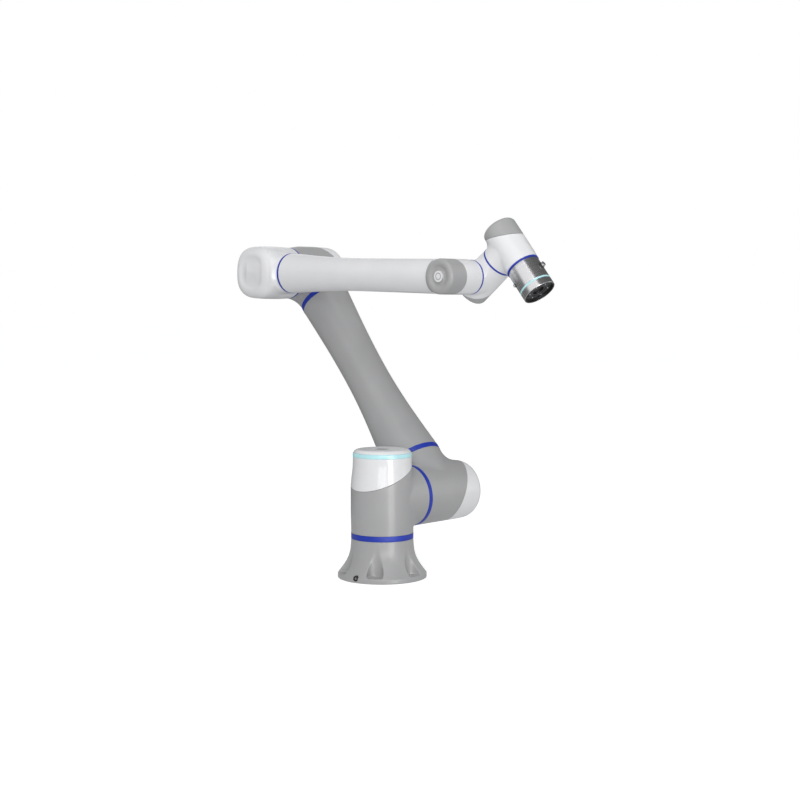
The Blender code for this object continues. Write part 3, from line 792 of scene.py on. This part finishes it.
def build_tool():
    """The metal flange: a turned barrel, its light ring, the head and the recessed face, whose near-black colour
    is painted shade.
    """
    low = RINGS["j6"][2] + RINGS["j6"][1] + SEAM
    light_low, light_high, face = 0.1290, 0.1335, 0.1525
    radius, root_r = 0.0450, 0.0444
    barrel = lathe(rounded([
        (0, low), (root_r, low), (root_r, low + 0.003), (radius, low + 0.0036),
        (radius, light_low - GAP), (0.036, light_low - GAP), (0, light_low - GAP),
    ], 0.0004), 192)

    # Each connector: how far round, how far along the flange, its radius, its reach, its node.
    turn, seat = math.radians(-11), radius - 0.006
    connectors = (
        (turn, 0.0965, 0.0085, 0.0095, "tool_connector"),
        (turn + math.radians(144), 0.1030, 0.0055, 0.0050, "tool_port_cap"),
    )
    sides = [Matrix.Rotation(angle, 4, "Z") @ along_x(seat, at) for angle, at, _, _, _ in connectors]
    sockets = [
        placed(cylinder(size + GAP, 0, 0.02), side) for side, (_, _, size, _, _) in zip(sides, connectors)
    ]
    piece("flange_barrel", drilled(barrel, sockets), TOOL, "tool", "tool_aluminium", ["tool_flange_barrel"])
    for side, (_, _, size, reach, node) in zip(sides, connectors):
        build_connector(node, TOOL @ side, size, radius - seat + reach)
    light = closed_ring(radius + 0.0003, 0.0380, light_low, light_high, 0.0005)
    piece("flange_light", lathe(light, 160), TOOL, "tool", "light_ring", ["tool_light_ring"])

    # The bright rim, with the plug inside it, whose near-black colour is painted shade for the recess and the
    # rim's lower edge.
    lip_r, bore_r, rim_low, plate = radius - 0.0009, 0.0367, light_high + GAP, face - 0.0060
    rim = rounded([
        (bore_r, light_low + 0.002), (bore_r, rim_low), (radius, rim_low), (radius, face - 0.0007),
        (radius - 0.0006, face), (lip_r, face), (lip_r, plate - 0.004), (bore_r, plate - 0.004),
        (bore_r, light_low + 0.002),
    ], 0.0002)
    piece("flange_rim", lathe(rim, 160), TOOL, "tool", "tool_aluminium", ["tool_flange_face"])
    plug_r, brim, register_r, pilot_r = lip_r - 0.0003, face - 0.0002, 0.0405, 0.0158
    ledge_r, step, pilot_floor = pilot_r + 0.006, plate - 0.0012, plate - 0.0060
    plug = lathe(rounded([
        (0, plate - 0.0100), (plug_r, plate - 0.0035), (plug_r, brim), (register_r, brim),
        (register_r, plate), (ledge_r, plate), (ledge_r, step), (pilot_r, step),
        (pilot_r, pilot_floor), (0, pilot_floor),
    ], 0.0005), 160)
    holes = []
    for index in range(4):
        spot = Matrix.Rotation(math.radians(45 + 90 * index), 4, "Z") @ Matrix.Translation((0.0315, 0, 0))
        holes.append(placed(cylinder(0.0030, 0.1360, 0.16), spot))
    # The plug's near-black colour is painted shade: it stands in for the shade inside the recess and along the
    # lower edge of the flat.
    piece("flange_face", drilled(plug, holes), TOOL, "tool", "dark_metal")
    for index in range(6):
        spot = Matrix.Rotation(math.radians(60 * index), 4, "Z") @ Matrix.Translation((0.0275, 0, plate))
        build_screw(f"face_screw_{index + 1}", TOOL @ spot, 0.0024, 0.0016)


def build_screw(name, place, radius, height):
    """A small socket screw's head with its hexagon socket."""
    head = lathe(rounded([(0, 0), (radius, 0), (radius, height), (0, height)], 0.0004), 40)
    socket = cylinder(radius * 0.5, height * 0.35, height * 2, 6)
    piece(name, drilled(head, [socket]), place, "tool", "steel")


def build_connector(node, place, size, reach):
    """A round connector: a black body, a metal coupling ring and the socket's face."""
    neck_r, face = size * 0.92, reach * 0.62
    body = rounded([
        (0, 0.0004), (size, 0.0004), (size, 0.0075), (neck_r, 0.0080), (neck_r, face),
        (size * 0.55, face), (0, face),
    ], 0.0003)
    piece(node + "_body", lathe(body, 56), place, "tool", "black_plastic", [node])
    crest_r, valley_r, bore_r, turns = size * 0.80, size * 0.74, size * 0.42, 5
    coupling = [(bore_r, reach * 0.55), (crest_r, reach * 0.55)]
    for index in range(turns):
        at = reach * (0.62 + 0.36 * index / turns)
        coupling += [(crest_r, at), (valley_r, at + reach * 0.03)]
    coupling += [(valley_r, reach * 0.98), (size * 0.66, reach), (size * 0.50, reach), (bore_r, reach * 0.97)]
    coupling.append(coupling[0])
    piece(node + "_coupling", lathe(coupling, 56), place, "tool", "steel")


def finish_inner_parts():
    """The drives inside the joints keep their CAD shape and get their finishes."""
    slots = {row["node"]: row["material_slot"] for row in frame["record"]["subparts"]}
    for name, node in frame["nodes"].items():
        node.data.materials.clear()
        node.data.materials.append(MATERIALS.get(slots[name], MATERIALS[GREY]))


# ---------------------------------------------------------------- studio


def area_light(name, place, target, size, power):
    """A rectangular lamp at place that points at target."""
    data = bpy.data.lights.new(name, "AREA")
    data.shape = "RECTANGLE"
    data.size, data.size_y = size
    data.energy = power
    light = added(name, data)
    light.location = place
    light.rotation_euler = (Vector(target) - Vector(place)).to_track_quat("-Z", "Y").to_euler()


def stage_object(name, bm):
    """An object for a part of the studio."""
    mesh = bpy.data.meshes.new(name)
    bm.to_mesh(mesh)
    bm.free()
    return added(name, mesh)


def glowing_white(name, brightness):
    """A material that only gives off white light."""
    material, _, shader = nodes_for(name)
    shader.inputs["Base Color"].default_value = (0.0, 0.0, 0.0, 1)
    shader.inputs["Specular IOR Level"].default_value = 0.0
    shader.inputs["Emission Color"].default_value = (1, 1, 1, 1)
    shader.inputs["Emission Strength"].default_value = brightness
    return material


def softbox(name, across, low, high, distance, width, brightness):
    """An upright card in front of the base column, across degrees round from the front."""
    bm = bmesh.new()
    bmesh.ops.create_grid(bm, x_segments=1, y_segments=1, size=0.5)
    bmesh.ops.scale(bm, vec=(width, high - low, 1), verts=bm.verts)
    turned = Matrix.Rotation(-math.radians(across), 4, "Z")
    ahead = Matrix.Translation((0, -distance, (low + high) / 2))
    mirror_only(name, placed(bm, turned @ ahead @ Matrix.Rotation(math.pi / 2, 4, "X")), brightness)


def reflector(name, start, stop, brightness):
    """A curved card round the tool, which only mirror reflections see.

    A metal barrel seen from the camera mirrors a cone of directions round its axis. start
    and stop are angles on that cone, from the side that faces the camera, + to its right.
    """
    centre = TOOL.translation + tool_axis * 0.1
    to_camera = (Vector(CAMERA_AT) - centre).normalized()
    along = to_camera.dot(tool_axis)
    facing = (to_camera - tool_axis * along).normalized()
    sideways = facing.cross(tool_axis).normalized()
    radius, half_width, steps = 1.1, 0.5, 10
    middle = -radius * along / math.sqrt(1 - along * along)
    bm = bmesh.new()
    edges = []
    for index in range(steps + 1):
        angle = math.radians(start + (stop - start) * index / steps)
        outwards = facing * math.cos(angle) + sideways * math.sin(angle)
        spot = centre + outwards * radius + tool_axis * middle
        edges.append([bm.verts.new(spot + tool_axis * side) for side in (-half_width, half_width)])
    for (a, b), (c, d) in zip(edges, edges[1:]):
        bm.faces.new((a, b, d, c))
    mirror_only(name, bm, brightness)


def mirror_only(name, bm, brightness):
    """Makes the bmesh a glowing card that only mirror reflections see."""
    card = stage_object(name, bm)
    card.data.materials.append(glowing_white(name, brightness))
    card.visible_camera = False
    card.visible_diffuse = False
    card.visible_shadow = False


def build_surround():
    """A white dome far behind the floor's edge, which only the camera sees."""
    bm = bmesh.new()
    bmesh.ops.create_uvsphere(bm, u_segments=48, v_segments=24, radius=55)
    surround = stage_object("surround", bm)
    surround.data.materials.append(glowing_white("white_surround", 1.0))
    surround.visible_diffuse = False
    surround.visible_glossy = False
    surround.visible_shadow = False
    surround.visible_transmission = False


def build_world():
    """An even sky, a little brighter from below."""
    world = bpy.data.worlds.new("studio")
    world.use_nodes = True
    tree = world.node_tree
    direction = tree.nodes.new("ShaderNodeTexCoord")
    height = tree.nodes.new("ShaderNodeSeparateXYZ")
    strength = tree.nodes.new("ShaderNodeMapRange")
    strength.inputs["From Min"].default_value = -1.0
    strength.inputs["To Min"].default_value = 0.62
    strength.inputs["To Max"].default_value = 0.50
    background = tree.nodes["Background"]
    background.inputs["Color"].default_value = (0.98, 0.99, 1.0, 1)
    tree.links.new(direction.outputs["Generated"], height.inputs["Vector"])
    tree.links.new(height.outputs["Z"], strength.inputs["Value"])
    tree.links.new(strength.outputs["Result"], background.inputs["Strength"])
    bpy.context.scene.world = world
    bpy.context.scene.view_settings.view_transform = "Standard"


def build_floor():
    """A pale floor just under the base, which only the camera sees."""
    bm = bmesh.new()
    bmesh.ops.create_grid(bm, x_segments=8, y_segments=8, size=60)
    floor = stage_object("floor", bm)
    floor.location.z = -0.0005
    material, tree, shader = nodes_for("pale_floor")
    tree.links.new(ramp(tree, noise(tree, 0.4, 2), (0.93, 0.93, 0.93), (0.95, 0.95, 0.95)),
                   shader.inputs["Base Color"])
    shader.inputs["Roughness"].default_value = 0.9
    shader.inputs["Specular IOR Level"].default_value = 0.1
    shader.inputs["Emission Color"].default_value = (1, 1, 1, 1)
    shader.inputs["Emission Strength"].default_value = 0.52
    floor.data.materials.append(material)
    floor.visible_diffuse = False
    floor.visible_glossy = False
    floor.visible_shadow = False


def build_studio():
    """The sky, the floor, four lamps, and the cards that the shiny surfaces mirror."""
    build_world()
    build_surround()
    build_floor()
    low_middle, middle = (0, 0, 0.4), (0.1, 0.1, 0.5)
    area_light("key", (-4.0, -4.0, 1.3), low_middle, (3.0, 2.4), 112)
    area_light("side", (2.6, -2.4, 1.2), middle, (0.8, 2.4), 8)
    area_light("top", (-1.2, -1.4, 2.9), (0, 0, 0.3), (2.0, 2.0), 22)
    area_light("back", (1.6, 3.2, 2.0), middle, (2.0, 1.6), 4)
    softbox("softbox", across=13, low=-0.6, high=1.1, distance=3.0, width=1.0, brightness=9.0)
    reflector("bright_card", -50, 19, 1.10)
    reflector("dark_card_right", 24, 178, 0.12)
    reflector("dark_card_left", -178, -58, 0.17)


def build_camera():
    """A long lens, low in front and to the left, that looks slightly down."""
    data = bpy.data.cameras.new("camera")
    data.sensor_width = 36.0
    data.lens = 63.88
    camera = added("camera", data)
    around, down = math.radians(45.7), math.radians(3.7)
    camera.location = CAMERA_AT
    level = math.cos(down)
    ahead = Vector((math.sin(around) * level, math.cos(around) * level, -math.sin(down)))
    camera.rotation_euler = ahead.to_track_quat("-Z", "Y").to_euler()
    bpy.context.scene.camera = camera


build_camera()
finish_inner_parts()
joint_seals()
build_base()
build_shoulder()
build_upper_arm()
build_forearm()
wrist_2_offset = (wrist_2_at - wrist_1_at).length
wrist_3_offset = (wrist_3_at - wrist_2_at).length
build_wrist(1, WRIST_1, wrist_2_offset, "j4", "j5", 0.0630, (0.0284, 0.61))
build_wrist(2, WRIST_2, wrist_3_offset, "j5", "j6", 0.0720, (0.0362, 0.54))
build_tool()
build_studio()
